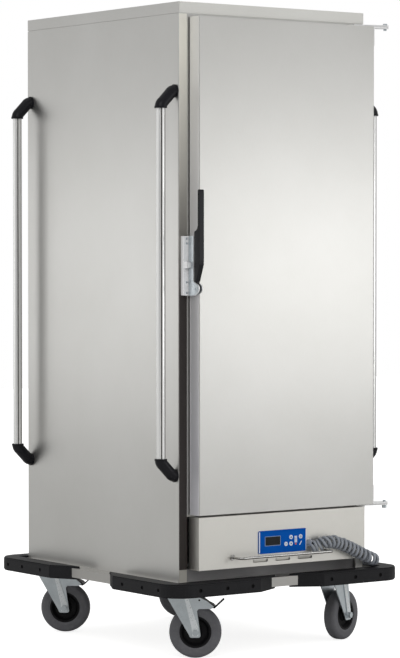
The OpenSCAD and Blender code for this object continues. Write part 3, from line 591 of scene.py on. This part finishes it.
bumper_x, bumper_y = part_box("corner_bumpers")[1].xy
second_material("fasteners", dark_screw,
                lambda c, n: abs(c.x) > bumper_x - SCREW_DEPTH or abs(c.y) > bumper_y - SCREW_DEPTH)
# Painted shade: the housing's left faces take the darker zinc, so they read as a shaded strip beside the
# keeper
second_material("latch_housing", zinc, lambda c, n: n.x < -FACING)
casing_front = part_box("casing")[0].y
# The front faces of the casing's left post take the painted reflection
second_material("casing", post_painted_reflection,
                lambda c, n: n.y < -FACING and c.y < casing_front + NEAR and c.x < 0)
cap_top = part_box("top_cap")[1].z
second_material("top_cap", cap_steel, lambda c, n: n.z > FACING and c.z > cap_top - NEAR)
# The cap's front faces take the painted highlight
second_material("top_cap", cap_front_painted_highlight, lambda c, n: n.y < -FACING)
# The door's left edge takes the painted reflection
door_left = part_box("door_skin")[0].x
second_material("door_skin", door_edge_painted_reflection, lambda c, n: n.x < -FACING and c.x < door_left + NEAR)

make_cord(cord_rubber)

# ------------------------------------------------------------------ controller prints

FILM_RECESS = 0.0008  # the blue film lies this far behind the bezel's rim
PRINT_FRONT = 0.0003  # a print stands this far in front of its film, and reaches PRINT_BACK into it
PRINT_BACK = 0.0001
KEY_PRINT = 0.0002  # both of these for a print on a key
STRIP_END = 0.003
STRIP_GAP = 0.0002
LEFT_STRIP = 0.0034
RIGHT_STRIP = 0.0022
DISPLAY_RIM = 0.002
DISPLAY_ROUND = 0.0002
# On the panel, from the bezel's lower left corner
BARS = 5
BAR_LEFT, BAR_RIGHT = 0.1375, 0.1475
LOWEST_BAR = 0.028
BAR_STEP = 0.0042
BAR_H = 0.0031
GAUGE_FOOT = (0.1425, 0.024)
GAUGE_FOOT_R = 0.0034
SLASH = [(0.156, 0.0195), (0.1585, 0.019), (0.1665, 0.0305), (0.164, 0.032)]

bezel_low, bezel_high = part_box("controller_bezel")
film_y = bezel_low.y + FILM_RECESS


def add_print(bm, outline, surface_y=film_y):
    add_prism_y(bm, outline, surface_y - PRINT_FRONT, surface_y + PRINT_BACK)


def on_panel(points):
    """Moves points that are measured from the bezel's lower left corner to their place."""
    return [(bezel_low.x + x, bezel_low.z + z) for x, z in points]


def edge_strips(bm):
    """The pale strips down the left and right edges of the panel."""
    left, right = bezel_low.x + STRIP_GAP, bezel_high.x - STRIP_GAP
    for x0, x1 in ((left, left + LEFT_STRIP), (right - RIGHT_STRIP, right)):
        add_print(bm, box_outline(x0, x1, bezel_low.z + STRIP_END, bezel_high.z - STRIP_END), bezel_low.y)


def display_rim(bm):
    """The thin print round the display."""
    low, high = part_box("controller_display")
    outer = rounded_outline(low.x - DISPLAY_RIM, high.x + DISPLAY_RIM,
                            low.z - DISPLAY_RIM, high.z + DISPLAY_RIM, DISPLAY_RIM)
    inner = rounded_outline(low.x, high.x, low.z, high.z, DISPLAY_ROUND)
    add_frame_y(bm, outer, inner, film_y - PRINT_FRONT, film_y + PRINT_BACK)


def gauge_bars(bm):
    """Level gauge: pale bars above each other."""
    for i in range(BARS):
        z = LOWEST_BAR + i * BAR_STEP
        add_print(bm, on_panel(box_outline(BAR_LEFT, BAR_RIGHT, z, z + BAR_H)))


def gauge_foot(bm):
    """The round foot of the gauge, with 16 sides."""
    add_print(bm, on_panel(arc_outline(*GAUGE_FOOT, GAUGE_FOOT_R, 0, 360 - 22.5, 15)))


def slash_icon(bm):
    """The leaning stroke beside the gauge."""
    add_print(bm, on_panel(SLASH))


def key_print(name, outlines):
    """Prints outlines on a key, measured from the key's middle."""
    low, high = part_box(name)
    cx, cz = (low.x + high.x) / 2, (low.z + high.z) / 2

    def build(bm):
        for outline in outlines:
            add_prism_y(bm, [(cx + x, cz + z) for x, z in outline], low.y - KEY_PRINT, low.y + KEY_PRINT)
    mesh_piece(name + "_print", build, name, dark_print)


mesh_piece("panel_edges", edge_strips, "cart", pale_print)
mesh_piece("display_rim", display_rim, "cart", rim_print)
mesh_piece("gauge_bars", gauge_bars, "cart", pale_print)
mesh_piece("gauge_foot", gauge_foot, "cart", red_print)
mesh_piece("slash_icon", slash_icon, "cart", pale_print)

# On the keys, from the key's middle: an arrow up, an arrow down, a dash, and a stroke in an open ring
ARROW_UP = [(-0.0034, -0.0022), (0.0034, -0.0022), (0, 0.0036)]
ARROW_DOWN = [(-0.0034, 0.0022), (0, -0.0036), (0.0034, 0.0022)]
DASH = box_outline(-0.003, 0.003, -0.0008, 0.0008)
STROKE = box_outline(-0.0007, 0.0007, -0.0002, 0.004)
OPEN_RING = arc_outline(0, 0, 0.0036, 130, 280, 10) + arc_outline(0, 0, 0.0024, 410, -280, 10)
key_print("key_up", [ARROW_UP])
key_print("key_down", [ARROW_DOWN])
key_print("key_set", [DASH])
key_print("key_power", [STROKE, OPEN_RING])

# ------------------------------------------------------------------ floor, world and lamps

FLOOR_HALF = 14
FLOOR_COLOUR = (0.82, 0.82, 0.81)
FLOOR_GLOW = 0.78  # added for the camera alone, so that the floor reads as white paper


def make_floor():
    mesh = bpy.data.meshes.new("floor")
    bm = bmesh.new()
    bmesh.ops.create_grid(bm, x_segments=1, y_segments=1, size=FLOOR_HALF)
    bm.to_mesh(mesh)
    bm.free()
    floor = bpy.data.objects.new("floor", mesh)
    scene.collection.objects.link(floor)
    paper = bpy.data.materials.new("floor_paper")
    paper.use_nodes = True
    tree = paper.node_tree
    tree.nodes.remove(tree.nodes["Principled BSDF"])
    diffuse = node_of(tree, "ShaderNodeBsdfDiffuse")
    diffuse.inputs["Color"].default_value = (*FLOOR_COLOUR, 1)
    glow = node_of(tree, "ShaderNodeEmission")
    seen = node_of(tree, "ShaderNodeLightPath").outputs["Is Camera Ray"]
    tree.links.new(math_node(tree, "MULTIPLY", seen, FLOOR_GLOW), glow.inputs["Strength"])
    both = node_of(tree, "ShaderNodeAddShader")
    tree.links.new(diffuse.outputs[0], both.inputs[0])
    tree.links.new(glow.outputs[0], both.inputs[1])
    tree.links.new(both.outputs[0], tree.nodes["Material Output"].inputs["Surface"])
    mesh.materials.append(paper)


SKY_LEVEL = (0.66, 0.52)  # brightness at the horizon and high up
SKY_HEIGHT = 0.8
DARK_SIDE = (-0.585, -0.811, 0)  # the dark end of the studio lies this way, low and in front
DARK_EDGES = (0.62, 0.86)  # it begins and is full where a ray points this far that way
DARK_LEVEL = 0.06
FILL_LEVEL = 0.55  # brightness for rays that aren't gloss


def float_mix(tree, factor, first, second):
    """Each of the two mixed inputs is a number or a socket."""
    node = node_of(tree, "ShaderNodeMix", data_type="FLOAT")
    tree.links.new(factor, node.inputs["Factor"])
    for name, value in (("A", first), ("B", second)):
        if isinstance(value, float):
            node.inputs[name].default_value = value
        else:
            tree.links.new(value, node.inputs[name])
    return node.outputs["Result"]


def make_world():
    """White for the camera, a plain fill for matt surfaces, and a studio with a dark end for gloss."""
    world = bpy.data.worlds.new("studio")
    scene.world = world
    world.use_nodes = True
    tree = world.node_tree
    background = tree.nodes["Background"]
    background.inputs["Color"].default_value = (1, 1, 1, 1)
    path = node_of(tree, "ShaderNodeLightPath").outputs
    seen = math_node(tree, "MAXIMUM", path["Is Camera Ray"], path["Is Transmission Ray"])
    ray = node_of(tree, "ShaderNodeTexCoord").outputs["Generated"]
    split = node_of(tree, "ShaderNodeSeparateXYZ")
    tree.links.new(ray, split.inputs[0])
    sky = spread(tree, split.outputs["Z"], *SKY_LEVEL, 0.0, SKY_HEIGHT)
    shade = spread(tree, facing_node(tree, DARK_SIDE, ray), 1.0, DARK_LEVEL, *DARK_EDGES)
    studio = float_mix(tree, path["Is Glossy Ray"], FILL_LEVEL, math_node(tree, "MULTIPLY", sky, shade))
    tree.links.new(float_mix(tree, seen, studio, 1.0), background.inputs["Strength"])


def softbox(name, place, target, size, power):
    """A rectangular lamp at a place, turned to a target; its power is in watts."""
    light = bpy.data.lights.new(name, "AREA")
    light.shape = "RECTANGLE"
    light.size, light.size_y = size
    light.energy = power
    lamp = bpy.data.objects.new(name, light)
    scene.collection.objects.link(lamp)
    lamp.location = place
    aim = Vector(target) - Vector(place)
    lamp.rotation_euler = aim.to_track_quat("-Z", "Y").to_euler()


make_floor()
make_world()
softbox("key", (-3.2, -3.6, 3.6), (0, 0, 1.0), (3.4, 2.6), 60)
softbox("door_band", (2.2, -3.3, 1.17), (0.1, -0.45, 1.12), (1.4, 0.95), 10.3)
softbox("side_band", (-2.1, 2.1, 1.15), (-0.36, -0.2, 1.15), (1.1, 1.1), 3.4)
softbox("top", (0.3, 0.4, 4.6), (0, 0, 0.5), (3.0, 3.0), 16)

scene.view_settings.view_transform = "Standard"
